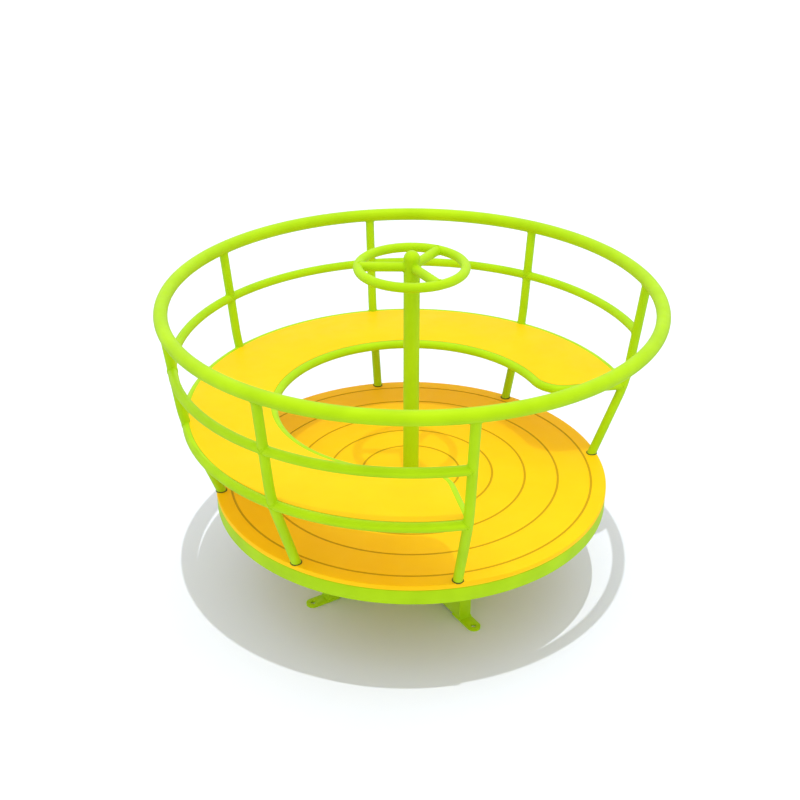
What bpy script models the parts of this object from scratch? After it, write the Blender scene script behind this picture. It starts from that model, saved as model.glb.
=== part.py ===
"""Playground merry-go-round: a turning round platform inside a bowl of bent tube, with a C-shaped bench,
a fixed centre column with a hand wheel, and four bolt-down legs.
Metres, +Z up, origin on the ground at the axis."""

import math

import bmesh
import bpy
from mathutils import Matrix, Vector

# Driving dimensions
DECK_RADIUS = 0.720
DECK_TOP = 0.446
DECK_THICKNESS = 0.019
TUBE_RADIUS = 0.01685
TOP_RAIL_TUBE_RADIUS = 0.02415
GAP = 0.0003

# Deck board
DECK_EDGE_CHAMFER = 0.003
SHAFT_HOLE_RADIUS = 0.0345
GROOVE_PITCH = 0.121
GROOVE_OUTER_RADIUS = 0.665
GROOVE_COUNT = 5
GROOVE_HALF_WIDTH = 0.0025
GROOVE_DEPTH = 0.0025

# Frame under the deck
RIM_OUTER_RADIUS = 0.719
RIM_WIDTH = 0.030
RIM_HEIGHT = 0.056
RIM_CORNER = 0.003
SPIDER_HUB_RADIUS = 0.115
ARM_COUNT = 8
ARM_HALF_WIDTH = 0.025
ARM_DEPTH = 0.040
SLEEVE_OUTER_RADIUS = 0.072
SLEEVE_INNER_RADIUS = 0.0595
SLEEVE_FLANGE_RADIUS = 0.110
SLEEVE_FLANGE_THICKNESS = 0.010
SLEEVE_BOTTOM = 0.265

# Posts: radius from the axis and height above the deck
POST_COUNT = 7
POST_PITCH = math.radians(45.28)
FIRST_POST_ANGLE = math.radians(11)
POST_FOOT_RADIUS = 0.702
POST_BEND_POINT = (0.8125, 0.300)
POST_BEND_RADIUS = 0.60

# Rails: heights above the deck. The middle and back rails run in line with the posts
TOP_RAIL = (0.859, 0.695)
MID_RAIL_HEIGHT = 0.497
BENCH_RAIL_HEIGHT = 0.282
RAIL_END_SETBACK = 0.006
FRONT_RAIL_RADIUS = 0.497
FRONT_RAIL_END_BEND = 0.108

# Bench
SEAT_TOP_ABOVE_RAIL = 0.0165
SEAT_THICKNESS = 0.012
SEAT_CLEARANCE = 0.0015
BEARER_WIDTH = 0.040
BEARER_THICKNESS = 0.008

# Fixed column and hand wheel
COLUMN_RADIUS = 0.0285
COLUMN_HEIGHT = 0.842
WHEEL_HEIGHT = 0.812
WHEEL_RADIUS = 0.1848
SPOKE_ANGLES = [math.radians(a) for a in (180, 60, 300)]

# Pedestal, legs and feet
PEDESTAL_RADIUS = 0.0572
PEDESTAL_TOP = 0.380
COLLAR_OUTER_RADIUS = 0.072
COLLAR_HEIGHT = 0.014
RUNNING_GAP = 0.006
LEG_COUNT = 4
FIRST_LEG_ANGLE = math.radians(32.5)
LEG_WIDTH = 0.050
LEG_DEPTH = 0.100
LEG_END_RADIUS = 0.375
FOOT_THICKNESS = 0.008
FOOT_INNER_RADIUS = 0.330
FOOT_TIP_CENTRE = 0.430
BOLT_HOLE_RADIUS = 0.009

# Cutters reach this far past what they cut
CUT_OVERRUN = 0.1

# Facets
RING_STEPS = 72
TUBE_BEVEL = 4
BEND_STEPS = 6

GREEN = (0.42, 0.76, 0.012)
DECK_YELLOW = (1.0, 0.56, 0.012)
SEAT_YELLOW = (1.0, 0.70, 0.02)


def material(name, colour, roughness):
    """Painted or moulded surface with one colour."""
    mat = bpy.data.materials.new(name)
    mat.use_nodes = True
    shader = mat.node_tree.nodes["Principled BSDF"]
    shader.inputs["Base Color"].default_value = (*colour, 1.0)
    shader.inputs["Roughness"].default_value = roughness
    shader.inputs["Metallic"].default_value = 0.0
    return mat


def polar(radius, angle, z=0.0):
    """A point by its radius from the axis, its angle and its height."""
    return Vector((radius * math.cos(angle), radius * math.sin(angle), z))


def new_object(name, mesh, mat, parent):
    """A named object with one material, under its body's empty."""
    mesh.name = name
    obj = bpy.data.objects.new(name, mesh)
    bpy.context.collection.objects.link(obj)
    mesh.materials.append(mat)
    mesh.shade_smooth()
    mesh.set_sharp_from_angle(angle=math.radians(35))
    obj.parent = parent
    return obj


def mesh_from(bm):
    """Mesh data from a bmesh, with its faces pointing out."""
    bmesh.ops.recalc_face_normals(bm, faces=bm.faces)
    mesh = bpy.data.meshes.new("mesh")
    bm.to_mesh(mesh)
    bm.free()
    return mesh


def lathe_mesh(profile, steps=RING_STEPS):
    """A closed profile of (radius, height) points turned once round the axis."""
    bm = bmesh.new()
    verts = [bm.verts.new((r, 0.0, z)) for r, z in profile]
    edges = [bm.edges.new((a, b)) for a, b in zip(verts, verts[1:] + verts[:1])]
    bmesh.ops.spin(bm, geom=verts + edges, axis=(0, 0, 1), cent=(0, 0, 0), steps=steps,
                   angle=2 * math.pi, use_merge=True, use_duplicate=False)
    bmesh.ops.remove_doubles(bm, verts=bm.verts, dist=1e-6)
    return mesh_from(bm)


def solid_lathe_mesh(profile, steps):
    """A profile that starts and ends on the axis, turned into a solid without a hole."""
    bm = bmesh.new()
    verts = [bm.verts.new((r, 0.0, z)) for r, z in profile]
    edges = [bm.edges.new((a, b)) for a, b in zip(verts, verts[1:])]
    bmesh.ops.spin(bm, geom=verts + edges, axis=(0, 0, 1), cent=(0, 0, 0), steps=steps,
                   angle=2 * math.pi, use_merge=True, use_duplicate=False)
    bmesh.ops.remove_doubles(bm, verts=bm.verts, dist=1e-6)
    return mesh_from(bm)


def ring_tube_mesh(ring, tube_radius, steps=RING_STEPS):
    """A full ring of round tube at a (radius, height) centre line."""
    radius, z = ring
    sides = 2 * TUBE_BEVEL + 4
    profile = []
    for i in range(sides):
        angle = 2 * math.pi * i / sides
        profile.append((radius + tube_radius * math.cos(angle), z + tube_radius * math.sin(angle)))
    return lathe_mesh(profile, steps)


def tube_mesh(path, tube_radius):
    """A round bar swept along a path of points, with closed ends."""
    curve = bpy.data.curves.new("path", "CURVE")
    curve.dimensions = "3D"
    curve.bevel_depth = tube_radius
    curve.bevel_resolution = TUBE_BEVEL
    curve.use_fill_caps = True
    spline = curve.splines.new("POLY")
    spline.points.add(len(path) - 1)
    for point, place in zip(spline.points, path):
        point.co = (*place, 1.0)
    holder = bpy.data.objects.new("path", curve)
    mesh = bpy.data.meshes.new_from_object(holder)
    bpy.data.objects.remove(holder)
    bpy.data.curves.remove(curve)
    bm = bmesh.new()
    bm.from_mesh(mesh)
    bpy.data.meshes.remove(mesh)
    bmesh.ops.remove_doubles(bm, verts=bm.verts, dist=1e-6)
    return mesh_from(bm)


def plug_profile(radius, top):
    """Section of a round plug from under the ground to above a height, which cuts what it meets."""
    low, high = -CUT_OVERRUN, top + CUT_OVERRUN
    return [(0.0, low), (radius, low), (radius, high), (0.0, high)]


def prism_mesh(outline, bottom, top):
    """A flat outline of (x, y) points raised between two heights."""
    bm = bmesh.new()
    face = bm.faces.new([bm.verts.new((x, y, bottom)) for x, y in outline])
    raised = bmesh.ops.extrude_face_region(bm, geom=[face])
    lifted = [v for v in raised["geom"] if isinstance(v, bmesh.types.BMVert)]
    bmesh.ops.translate(bm, verts=lifted, vec=(0, 0, top - bottom))
    return mesh_from(bm)


def box_mesh(low, high):
    """A box between its lowest and highest corners."""
    (x0, y0, z0), (x1, y1, z1) = low, high
    return prism_mesh([(x0, y0), (x1, y0), (x1, y1), (x0, y1)], z0, z1)


def cutter(name, mesh):
    """A hidden shape that only cuts its neighbours."""
    obj = bpy.data.objects.new(name, mesh)
    bpy.context.collection.objects.link(obj)
    obj.hide_render = True
    obj.display_type = "WIRE"
    return obj


def cut(obj, *tools):
    """Cut an object by hidden shapes."""
    for tool in tools:
        boolean = obj.modifiers.new("cut by " + tool.name, "BOOLEAN")
        boolean.operation = "DIFFERENCE"
        boolean.solver = "EXACT"
        boolean.object = tool


def arc_points(centre, radius, start, end, steps):
    """Points on an arc in a plane, from one angle to another, both ends included."""
    points = []
    for i in range(steps + 1):
        angle = start + (end - start) * i / steps
        points.append((centre[0] + radius * math.cos(angle), centre[1] + radius * math.sin(angle)))
    return points


def post_profile():
    """Post centre line as (radius, height above the deck): straight, one long bend, straight."""
    foot = Vector((POST_FOOT_RADIUS, 0.0))
    corner = Vector(POST_BEND_POINT)
    top = Vector(TOP_RAIL)
    lower = (foot - corner).normalized()
    upper = (top - corner).normalized()
    half_turn = (math.pi - lower.angle(upper)) / 2
    reach = POST_BEND_RADIUS * math.tan(half_turn)
    centre = corner + (lower + upper).normalized() * (POST_BEND_RADIUS / math.cos(half_turn))
    from_centre = corner + lower * reach - centre
    to_centre = corner + upper * reach - centre
    start = math.atan2(from_centre.y, from_centre.x)
    end = math.atan2(to_centre.y, to_centre.x)
    if end - start > math.pi:
        end -= 2 * math.pi
    if start - end > math.pi:
        end += 2 * math.pi
    below_deck = foot - (corner - foot).normalized() * TUBE_RADIUS * 2
    return [tuple(below_deck)] + arc_points(centre, POST_BEND_RADIUS, start, end, BEND_STEPS) + [tuple(top)]


def post_radius(height):
    """Radius of the post's centre line at a height above the deck."""
    profile = post_profile()
    for (r0, z0), (r1, z1) in zip(profile, profile[1:]):
        if z0 <= height <= z1:
            return r0 + (r1 - r0) * (height - z0) / (z1 - z0)
    raise ValueError("height is outside the post")


def post_mesh(angle, tube_radius, foot_level):
    """One post, cut level where it stands."""
    path = [polar(r, angle, DECK_TOP + z) for r, z in post_profile()]
    mesh = tube_mesh(path, tube_radius)
    bm = bmesh.new()
    bm.from_mesh(mesh)
    bpy.data.meshes.remove(mesh)
    geometry = bm.verts[:] + bm.edges[:] + bm.faces[:]
    bmesh.ops.bisect_plane(bm, geom=geometry, dist=1e-7, plane_co=(0, 0, DECK_TOP + foot_level),
                           plane_no=(0, 0, 1), clear_inner=True)
    bmesh.ops.holes_fill(bm, edges=[e for e in bm.edges if e.is_boundary])
    return mesh_from(bm)


def bench_outline(offset):
    """One side of the bench front line, moved by an offset towards the seat, as (x, y) from end to end."""
    first = FIRST_POST_ANGLE
    last = FIRST_POST_ANGLE + (POST_COUNT - 1) * POST_PITCH
    bend = FRONT_RAIL_END_BEND
    turn = math.asin(bend / (FRONT_RAIL_RADIUS + bend))
    bend_radius = bend - offset
    ring_radius = FRONT_RAIL_RADIUS + offset
    points = []
    centre = polar(FRONT_RAIL_RADIUS + bend, first + turn).xy
    points += arc_points(centre, bend_radius, first - math.pi / 2, first + turn - math.pi, BEND_STEPS)
    steps = round(RING_STEPS * (last - first - 2 * turn) / (2 * math.pi))
    points += arc_points((0.0, 0.0), ring_radius, first + turn, last - turn, steps)[1:-1]
    centre = polar(FRONT_RAIL_RADIUS + bend, last - turn).xy
    points += arc_points(centre, bend_radius, last - turn + math.pi, last + math.pi / 2, BEND_STEPS)
    return points


def bench_seat_mesh():
    """C-shaped board between the front and back rails."""
    clear = TUBE_RADIUS + SEAT_CLEARANCE
    first = FIRST_POST_ANGLE
    last = FIRST_POST_ANGLE + (POST_COUNT - 1) * POST_PITCH
    outer_radius = post_radius(BENCH_RAIL_HEIGHT) - clear
    end_turn = math.asin(clear / outer_radius)
    steps = round(RING_STEPS * (last - first) / (2 * math.pi))
    outer = arc_points((0.0, 0.0), outer_radius, last - end_turn, first + end_turn, steps)
    top = DECK_TOP + BENCH_RAIL_HEIGHT + SEAT_TOP_ABOVE_RAIL
    return prism_mesh(bench_outline(clear) + outer, top - SEAT_THICKNESS, top)


def spider_outline():
    """Round hub with arms that reach the rim."""
    tip = (RIM_OUTER_RADIUS - RIM_WIDTH) * math.cos(math.pi / RING_STEPS) - GAP
    root = math.asin(ARM_HALF_WIDTH / SPIDER_HUB_RADIUS)
    tip_turn = math.asin(ARM_HALF_WIDTH / tip)
    pitch = 2 * math.pi / ARM_COUNT
    points = []
    for i in range(ARM_COUNT):
        angle = FIRST_POST_ANGLE + i * pitch
        points += [tuple(polar(SPIDER_HUB_RADIUS, angle - root).xy), tuple(polar(tip, angle - tip_turn).xy)]
        points += [tuple(polar(tip, angle).xy), tuple(polar(tip, angle + tip_turn).xy)]
        points += [tuple(polar(SPIDER_HUB_RADIUS, angle + root).xy)]
    return points


def deck_profile():
    """Deck board section from the shaft hole out, with its grooves and softened edge."""
    top = DECK_TOP
    bottom = DECK_TOP - DECK_THICKNESS
    points = [(SHAFT_HOLE_RADIUS, bottom), (DECK_RADIUS - DECK_EDGE_CHAMFER, bottom)]
    points += [(DECK_RADIUS, bottom + DECK_EDGE_CHAMFER), (DECK_RADIUS, top - DECK_EDGE_CHAMFER)]
    points += [(DECK_RADIUS - DECK_EDGE_CHAMFER, top)]
    for i in range(GROOVE_COUNT):
        radius = GROOVE_OUTER_RADIUS - i * GROOVE_PITCH
        points += [(radius + GROOVE_HALF_WIDTH, top), (radius, top - GROOVE_DEPTH)]
        points += [(radius - GROOVE_HALF_WIDTH, top)]
    points += [(SHAFT_HOLE_RADIUS, top)]
    return points


def rim_profile():
    """Box section of the rim with softened outer corners."""
    top = DECK_TOP - DECK_THICKNESS - GAP
    bottom = top - RIM_HEIGHT
    inner = RIM_OUTER_RADIUS - RIM_WIDTH
    return [(inner, bottom), (RIM_OUTER_RADIUS - RIM_CORNER, bottom), (RIM_OUTER_RADIUS, bottom + RIM_CORNER),
            (RIM_OUTER_RADIUS, top - RIM_CORNER), (RIM_OUTER_RADIUS - RIM_CORNER, top), (inner, top)]


def sleeve_profile(top):
    """Bearing sleeve with a flange under the spider."""
    flange_bottom = top - SLEEVE_FLANGE_THICKNESS
    return [(SLEEVE_INNER_RADIUS, SLEEVE_BOTTOM), (SLEEVE_OUTER_RADIUS, SLEEVE_BOTTOM),
            (SLEEVE_OUTER_RADIUS, flange_bottom), (SLEEVE_FLANGE_RADIUS, flange_bottom),
            (SLEEVE_FLANGE_RADIUS, top), (SLEEVE_INNER_RADIUS, top)]


def foot_outline():
    """Round-ended foot plate lying along +X."""
    half = LEG_WIDTH / 2
    tip = arc_points((FOOT_TIP_CENTRE, 0.0), half, -math.pi / 2, math.pi / 2, 12)
    return [(FOOT_INNER_RADIUS, -half)] + tip + [(FOOT_INNER_RADIUS, half)]


def rail_run(name, height, index, parent, mat, post_cutters):
    """One length of rail between two neighbouring posts, its ends shaped to them."""
    radius = post_radius(height)
    start = FIRST_POST_ANGLE + index * POST_PITCH + RAIL_END_SETBACK / radius
    end = FIRST_POST_ANGLE + (index + 1) * POST_PITCH - RAIL_END_SETBACK / radius
    steps = round(RING_STEPS * POST_PITCH / (2 * math.pi))
    path = [Vector((x, y, DECK_TOP + height)) for x, y in arc_points((0.0, 0.0), radius, start, end, steps)]
    obj = new_object(name, tube_mesh(path, TUBE_RADIUS), mat, parent)
    cut(obj, post_cutters[index], post_cutters[index + 1])


def make_base(parent, green):
    """Legs, feet, pedestal and thrust collar."""
    leg_bottom = FOOT_THICKNESS + GAP
    pedestal = [(0.0, leg_bottom), (PEDESTAL_RADIUS, leg_bottom),
                (PEDESTAL_RADIUS, PEDESTAL_TOP), (0.0, PEDESTAL_TOP)]
    new_object("pedestal", solid_lathe_mesh(pedestal, 40), green, parent)
    collar_inner = PEDESTAL_RADIUS + GAP
    collar_top = SLEEVE_BOTTOM - RUNNING_GAP
    collar = [(collar_inner, collar_top - COLLAR_HEIGHT), (COLLAR_OUTER_RADIUS, collar_top - COLLAR_HEIGHT),
              (COLLAR_OUTER_RADIUS, collar_top), (collar_inner, collar_top)]
    new_object("thrust_collar", lathe_mesh(collar, 40), green, parent)
    around_pedestal = solid_lathe_mesh(plug_profile(collar_inner, PEDESTAL_TOP), 40)
    pedestal_cutter = cutter("pedestal_cutter", around_pedestal)
    for i in range(LEG_COUNT):
        turn = Matrix.Rotation(FIRST_LEG_ANGLE + i * 2 * math.pi / LEG_COUNT, 4, "Z")
        half = LEG_WIDTH / 2
        leg = box_mesh((half, -half, leg_bottom), (LEG_END_RADIUS, half, leg_bottom + LEG_DEPTH))
        leg.transform(turn)
        cut(new_object(f"leg_{i + 1}", leg, green, parent), pedestal_cutter)
        drill = solid_lathe_mesh(plug_profile(BOLT_HOLE_RADIUS, FOOT_THICKNESS), 16)
        drill.transform(turn @ Matrix.Translation((FOOT_TIP_CENTRE, 0, 0)))
        foot = prism_mesh(foot_outline(), 0.0, FOOT_THICKNESS)
        foot.transform(turn)
        cut(new_object(f"foot_{i + 1}", foot, green, parent), cutter(f"bolt_hole_{i + 1}", drill))


def make_column(parent, green):
    """Centre column with its domed top, and the hand wheel."""
    foot = PEDESTAL_TOP + GAP
    top = DECK_TOP + COLUMN_HEIGHT
    dome = arc_points((0.0, top), COLUMN_RADIUS, 0.0, math.pi / 2, 5)
    dome[-1] = (0.0, top + COLUMN_RADIUS)
    new_object("column", solid_lathe_mesh([(0.0, foot), (COLUMN_RADIUS, foot)] + dome, 24), green, parent)
    wheel = (WHEEL_RADIUS, DECK_TOP + WHEEL_HEIGHT)
    new_object("wheel_ring", ring_tube_mesh(wheel, TUBE_RADIUS, 48), green, parent)
    ring_cutter = cutter("wheel_ring_cutter", ring_tube_mesh(wheel, TUBE_RADIUS + GAP, 48))
    around_column = solid_lathe_mesh(plug_profile(COLUMN_RADIUS + GAP, top), 24)
    column_cutter = cutter("column_cutter", around_column)
    for i, angle in enumerate(SPOKE_ANGLES):
        inner_end = polar(COLUMN_RADIUS / 2, angle, wheel[1])
        outer_end = polar(WHEEL_RADIUS - RAIL_END_SETBACK, angle, wheel[1])
        path = [inner_end, outer_end]
        spoke = new_object(f"wheel_spoke_{i + 1}", tube_mesh(path, TUBE_RADIUS), green, parent)
        cut(spoke, ring_cutter, column_cutter)


def make_platform(parent, green, deck_yellow):
    """Deck board, rim, spider and bearing sleeve."""
    new_object("deck_board", lathe_mesh(deck_profile()), deck_yellow, parent)
    new_object("deck_rim", lathe_mesh(rim_profile()), green, parent)
    spider_top = DECK_TOP - DECK_THICKNESS - GAP
    spider_bottom = spider_top - ARM_DEPTH
    spider = new_object("deck_spider", prism_mesh(spider_outline(), spider_bottom, spider_top), green, parent)
    cut(spider, cutter("shaft_hole", solid_lathe_mesh(plug_profile(SHAFT_HOLE_RADIUS, DECK_TOP), 24)))
    new_object("hub_sleeve", lathe_mesh(sleeve_profile(spider_bottom - GAP), 40), green, parent)


def make_bowl(parent, green, seat_yellow):
    """Posts, rails, bench seat and the bars under it."""
    top_rail = (TOP_RAIL[0], DECK_TOP + TOP_RAIL[1])
    new_object("top_rail", ring_tube_mesh(top_rail, TOP_RAIL_TUBE_RADIUS), green, parent)
    top_cutter = cutter("top_rail_cutter", ring_tube_mesh(top_rail, TOP_RAIL_TUBE_RADIUS + GAP))
    rail_level = DECK_TOP + BENCH_RAIL_HEIGHT
    back_radius = post_radius(BENCH_RAIL_HEIGHT)
    back_ring = (back_radius, rail_level)
    back_cutter = cutter("back_rail_cutter", ring_tube_mesh(back_ring, TUBE_RADIUS + GAP))
    post_cutters = []
    for i in range(POST_COUNT):
        angle = FIRST_POST_ANGLE + i * POST_PITCH
        post = new_object(f"post_{i + 1}", post_mesh(angle, TUBE_RADIUS, GAP), green, parent)
        cut(post, top_cutter)
        post_cutters.append(cutter(f"post_cutter_{i + 1}", post_mesh(angle, TUBE_RADIUS + GAP, GAP)))
    for i in range(POST_COUNT - 1):
        rail_run(f"mid_rail_{i + 1}", MID_RAIL_HEIGHT, i, parent, green, post_cutters)
        rail_run(f"bench_back_rail_{i + 1}", BENCH_RAIL_HEIGHT, i, parent, green, post_cutters)
    ends = []
    for i in (0, POST_COUNT - 1):
        ends.append(polar(back_radius - RAIL_END_SETBACK, FIRST_POST_ANGLE + i * POST_PITCH, rail_level))
    path = [ends[0]] + [Vector((x, y, rail_level)) for x, y in bench_outline(0.0)] + [ends[1]]
    front = new_object("bench_front_rail", tube_mesh(path, TUBE_RADIUS), green, parent)
    cut(front, back_cutter, post_cutters[0], post_cutters[-1])
    seat = new_object("bench_seat", bench_seat_mesh(), seat_yellow, parent)
    cut(seat, *post_cutters)
    bearer_top = rail_level + SEAT_TOP_ABOVE_RAIL - SEAT_THICKNESS - GAP
    clear = TUBE_RADIUS + GAP
    facet_depth = back_radius * (1 - math.cos(math.pi / RING_STEPS))
    half = BEARER_WIDTH / 2
    for i in range(1, POST_COUNT - 1):
        low = (FRONT_RAIL_RADIUS + clear, -half, bearer_top - BEARER_THICKNESS)
        bearer = box_mesh(low, (back_radius - clear - facet_depth, half, bearer_top))
        bearer.transform(Matrix.Rotation(FIRST_POST_ANGLE + i * POST_PITCH, 4, "Z"))
        cut(new_object(f"seat_bearer_{i}", bearer, green, parent), post_cutters[i])


def main():
    for obj in list(bpy.data.objects):
        bpy.data.objects.remove(obj)
    green = material("green_powder_coat", GREEN, 0.35)
    deck_yellow = material("deck_yellow_board", DECK_YELLOW, 0.45)
    seat_yellow = material("seat_yellow_board", SEAT_YELLOW, 0.40)
    ground_frame = bpy.data.objects.new("ground_frame", None)
    platform = bpy.data.objects.new("platform", None)
    for empty in (ground_frame, platform):
        bpy.context.collection.objects.link(empty)
    make_base(ground_frame, green)
    make_column(ground_frame, green)
    make_platform(platform, green, deck_yellow)
    make_bowl(platform, green, seat_yellow)


main()
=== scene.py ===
"""Finishes of a playground merry-go-round: lime powder-coated tube bowl, yellow plastic deck and bench,
fixed centre column with a hand wheel. Metres, +Z up, origin on the ground at the spin axis."""

import math

import bmesh
import bpy
from mathutils import Matrix, Vector


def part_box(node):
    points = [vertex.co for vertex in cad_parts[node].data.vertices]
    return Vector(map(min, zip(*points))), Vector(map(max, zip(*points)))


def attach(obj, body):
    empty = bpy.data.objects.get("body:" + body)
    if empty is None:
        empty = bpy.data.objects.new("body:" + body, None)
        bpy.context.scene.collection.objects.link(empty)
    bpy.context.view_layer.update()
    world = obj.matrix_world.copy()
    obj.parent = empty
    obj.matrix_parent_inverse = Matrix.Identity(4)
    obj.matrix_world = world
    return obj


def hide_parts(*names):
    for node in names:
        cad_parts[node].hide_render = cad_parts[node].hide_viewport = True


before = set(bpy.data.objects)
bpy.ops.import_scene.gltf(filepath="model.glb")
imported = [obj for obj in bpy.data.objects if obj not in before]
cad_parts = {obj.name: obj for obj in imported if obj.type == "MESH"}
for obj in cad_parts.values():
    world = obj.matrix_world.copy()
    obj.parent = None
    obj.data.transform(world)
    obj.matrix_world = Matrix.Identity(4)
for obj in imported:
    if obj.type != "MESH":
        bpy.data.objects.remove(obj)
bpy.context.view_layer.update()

# Bodies, and the record's material slots
FIXED = "ground_frame"
TURNING = "platform"
GREEN_SLOT = "green_powder_coat"

# Sizes read from the frame
DECK_LOW, DECK_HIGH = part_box("deck_board")
DECK_RADIUS = DECK_HIGH.x
DECK_TOP = DECK_HIGH.z
DECK_UNDERSIDE = DECK_LOW.z
RIM_LOW, RIM_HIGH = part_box("deck_rim")
SPIDER_LOW, SPIDER_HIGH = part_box("deck_spider")
SLEEVE_LOW, SLEEVE_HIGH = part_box("hub_sleeve")
COLLAR_LOW, COLLAR_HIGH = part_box("thrust_collar")
PEDESTAL_LOW, PEDESTAL_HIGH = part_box("pedestal")
COLUMN_LOW, COLUMN_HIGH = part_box("column")
WHEEL_LOW, WHEEL_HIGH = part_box("wheel_ring")
TOP_RAIL_LOW, TOP_RAIL_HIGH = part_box("top_rail")
FRONT_RAIL_LOW, FRONT_RAIL_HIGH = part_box("bench_front_rail")
MID_RAIL_LOW, MID_RAIL_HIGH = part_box("mid_rail_1")
SEAT_LOW, SEAT_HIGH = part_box("bench_seat")
BEARER_LOW, BEARER_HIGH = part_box("seat_bearer_1")
LEG_LOW, LEG_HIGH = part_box("leg_1")
FOOT_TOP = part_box("foot_1")[1].z

# Tube
TUBE_RADIUS = (WHEEL_HIGH.z - WHEEL_LOW.z) / 2
TOP_RAIL_TUBE_RADIUS = (TOP_RAIL_HIGH.z - TOP_RAIL_LOW.z) / 2
TOP_RAIL_RADIUS = TOP_RAIL_HIGH.x - TOP_RAIL_TUBE_RADIUS
TOP_RAIL_HEIGHT = (TOP_RAIL_HIGH.z + TOP_RAIL_LOW.z) / 2
MID_RAIL_HEIGHT = (MID_RAIL_HIGH.z + MID_RAIL_LOW.z) / 2
BENCH_RAIL_HEIGHT = (FRONT_RAIL_HIGH.z + FRONT_RAIL_LOW.z) / 2
WHEEL_RADIUS = WHEEL_HIGH.x - TUBE_RADIUS
WHEEL_HEIGHT = (WHEEL_HIGH.z + WHEEL_LOW.z) / 2
COLUMN_RADIUS = COLUMN_HIGH.x

# Posts: centre line as radius from the axis and height above the deck
POST_COUNT = 7
POST_PITCH = math.radians(45.28)
FIRST_POST_ANGLE = math.radians(11)
LAST_POST_ANGLE = FIRST_POST_ANGLE + (POST_COUNT - 1) * POST_PITCH
POST_FOOT_RADIUS = 0.702
POST_BEND_POINT = (0.8125, 0.300)
POST_BEND_RADIUS = 0.60

# Bench
FRONT_RAIL_RADIUS = 0.497
FRONT_RAIL_END_BEND = 0.108
SEAT_FIT = 0.0002
SEAT_LAP = 0.008
SEAT_LIP = 0.0008
BEARER_WIDTH = 0.040

# Deck grooves
GROOVE_PITCH = 0.121
GROOVE_OUTER_RADIUS = 0.665
GROOVE_COUNT = 5
GROOVE_HALF_WIDTH = 0.0042
GROOVE_DEPTH = 0.0020
# Painted shade in the grooves: a groove's colour is darkest from this share of its depth down, and its rim
# counts as part of it
GROOVE_SHADE_SHARE = 0.3
GROOVE_SHADE_REACH = 1.01

# Frame under the deck
RIM_WIDTH = 0.030
SPIDER_HUB_RADIUS = 0.115
ARM_COUNT = 8
ARM_HALF_WIDTH = 0.025
SHAFT_HOLE_RADIUS = 0.0345
SLEEVE_BORE = 0.0595
SLEEVE_RADIUS = 0.072
FLANGE_THICKNESS = 0.010

# Legs, feet and wheel spokes
LEG_COUNT = 4
FIRST_LEG_ANGLE = math.radians(32.5)
LEG_WIDTH = 0.050
LEG_END_RADIUS = 0.375
FOOT_INNER_RADIUS = 0.330
FOOT_TIP_CENTRE = 0.430
BOLT_HOLE_RADIUS = 0.009
SPOKE_ANGLES = [math.radians(a) for a in (180, 60, 300)]

# Edges and small fits
POST_DEPTH_IN_BOARD = 0.012
RAIL_END_SETBACK = 0.006
BEARER_TUCK = 0.008
LEG_TUCK = 0.001
COLLAR_FIT = 0.0002
DECK_EDGE = 0.003
RIM_EDGE = 0.004
ARM_EDGE = 0.003
LEG_EDGE = 0.005
FOOT_EDGE = 0.0012
PEDESTAL_EDGE = 0.002
PLATE_EDGE = 0.0015
DRILL_OVERRUN = 0.01

# Weld beads, and the dark rings of painted contact shade round the posts' feet. Ripple depth and unevenness
# are shares of the bead's radius
TUBE_BEAD = 0.0026
PLATE_BEAD = 0.0035
CONTACT_SHADE_BEAD = 0.0030
RIPPLE_PITCH = 0.003
RIPPLE_DEPTH = 0.12
BEAD_UNEVENNESS = 0.25
BEAD_UNEVENNESS_SCALE = 60.0

# Fasteners under the platform and the bench
HUB_BOLT_CIRCLE = 0.092
ARM_BOLT_RADII = (0.30, 0.53)
SEAT_BOLT_RADII = (0.57, 0.72)
HUB_THREAD = 0.0060
ARM_THREAD = 0.0050
SEAT_THREAD = 0.0035
NUT_SEED = 5
# Sizes of nuts, washers and thread ends in thread radii
NUT_PROPORTIONS = {"Washer Radius": 2.0, "Washer Depth": 0.35, "Nut Radius": 1.75, "Nut Depth": 1.9,
                   "Thread Radius": 1.0, "Thread Depth": 2.6}

# Colours of the finishes
POWDER_BODY = "ABD70A"
POWDER_THIN = "A1CD06"
POWDER_SHEEN = "FFFF60"
DECK_BODY = "FBC908"
DECK_SHADE = "F9C404"
SEAT_BODY = "FACA0B"
SEAT_SHADE = "F8C507"
# Painted shade for the floors of the deck's grooves
GROOVE_SHADE = "C49C00"
ZINC_BRIGHT = "C9CCCB"
ZINC_DULL = "A9ADB0"
# Painted contact shade: the dark olive of the rings round the posts' feet
CONTACT_SHADE_PALE = "5C641C"
CONTACT_SHADE_DEEP = "4A5214"
FLOOR_BODY = "D6DBE5"
FLOOR_PALE = "D8DDE7"

# Roughness of the finishes, from the smoothest patches to the roughest
POWDER_ROUGHNESS = (0.46, 0.58)
BOARD_ROUGHNESS = (0.50, 0.62)
ZINC_ROUGHNESS = (0.28, 0.42)

# Sizes of the patterns in the finishes
FILM_PATCH = 0.11
ORANGE_PEEL = 0.007
BOARD_PATCH = 0.16
BOARD_GLOSS_PATCH = 0.05
PEBBLE = 0.004
ZINC_CLOUD = 0.006
ZINC_GLOSS_PATCH = 0.003
CONTACT_SHADE_PATCH = 0.004
FLOOR_PATCH = 1.5

# Cloud pattern: its roughness, and the two values between which most of it lies
CLOUD_ROUGHNESS = 0.55
CLOUD_LOW = 0.3
CLOUD_HIGH = 0.7

# Light and floor. The sky is given as pairs: the sine of the angle above the horizon, and the strength
FLOOR_HALF_SIZE = 200.0
SKY_STRENGTHS = ((-0.3, 0.50), (0.0, 1.0), (0.1, 0.85), (1.0, 1.45))
KEY_STRENGTH = 0.66
FLOOR_LIGHT_STRENGTH = 0.85
KEY_ANGLE = math.radians(0.5)
KEY_DIRECTION = (-0.027, 0.17, -1.0)

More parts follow.
